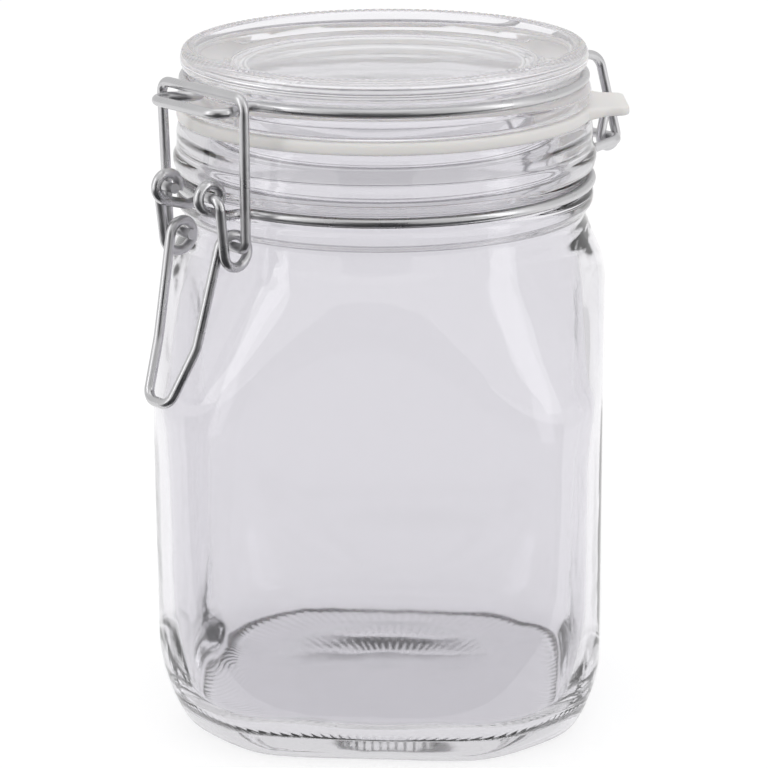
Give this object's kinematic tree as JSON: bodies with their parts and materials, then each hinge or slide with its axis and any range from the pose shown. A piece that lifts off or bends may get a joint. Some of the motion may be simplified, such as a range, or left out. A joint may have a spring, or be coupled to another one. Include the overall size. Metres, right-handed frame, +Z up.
{
  "type": "preserving jar",
  "caption": "Square-bodied clear glass preserving jar with a round neck, hinged glass lid, rubber seal with a pull tab and an over-centre wire clamp, shown empty and shut.",
  "frame": {"origin": "centre of the jar's base, on the plane it stands on", "axes": "+Z up through the neck and lid; the flat panels face +X, -X, +Y and -Y; the clamp lever is over the -X-Y corner and the lid hinge over the +X+Y corner"},
  "size_m": [0.1126, 0.1101, 0.165],
  "materials": {
    "clear_glass": "clear pressed glass, faintly grey, smooth with a fine knurl under the heel",
    "lid_glass": "clear pressed glass with a stippled ring on the crest",
    "seal_rubber": "cream-white rubber, slightly see-through, satin",
    "wire_steel": "drawn, lightly galvanised steel wire, satin"
  },
  "bodies": {
    "jar": {"jar_glass": "clear_glass", "neck_wire": "wire_steel"},
    "lid": {"lid_glass": "lid_glass", "lid_wire": "wire_steel", "seal_ring": "seal_rubber"},
    "lever": {"lever": "wire_steel"},
    "link": {"link": "wire_steel"}
  },
  "joints": [
    {"name": "lid_hinge", "type": "hinge", "parent": "jar", "child": "lid", "pos_m": [0.04695, 0.04695, 0.1341], "axis": [-0.7071, 0.7071, 0], "range_deg": [0, 110]},
    {"name": "lever_pivot", "type": "hinge", "parent": "jar", "child": "lever", "pos_m": [-0.04186, -0.04186, 0.1371], "axis": [-0.7071, 0.7071, 0], "range_deg": [0, 75]},
    {"name": "link_pivot", "type": "hinge", "parent": "lever", "child": "link", "pos_m": [-0.03833, -0.03833, 0.1253], "axis": [0.7071, -0.7071, 0], "range_deg": [0, 150]}
  ],
  "couplings": [
    {"joint": "link_pivot", "follows": "lever_pivot", "ratio": 2}
  ]
}
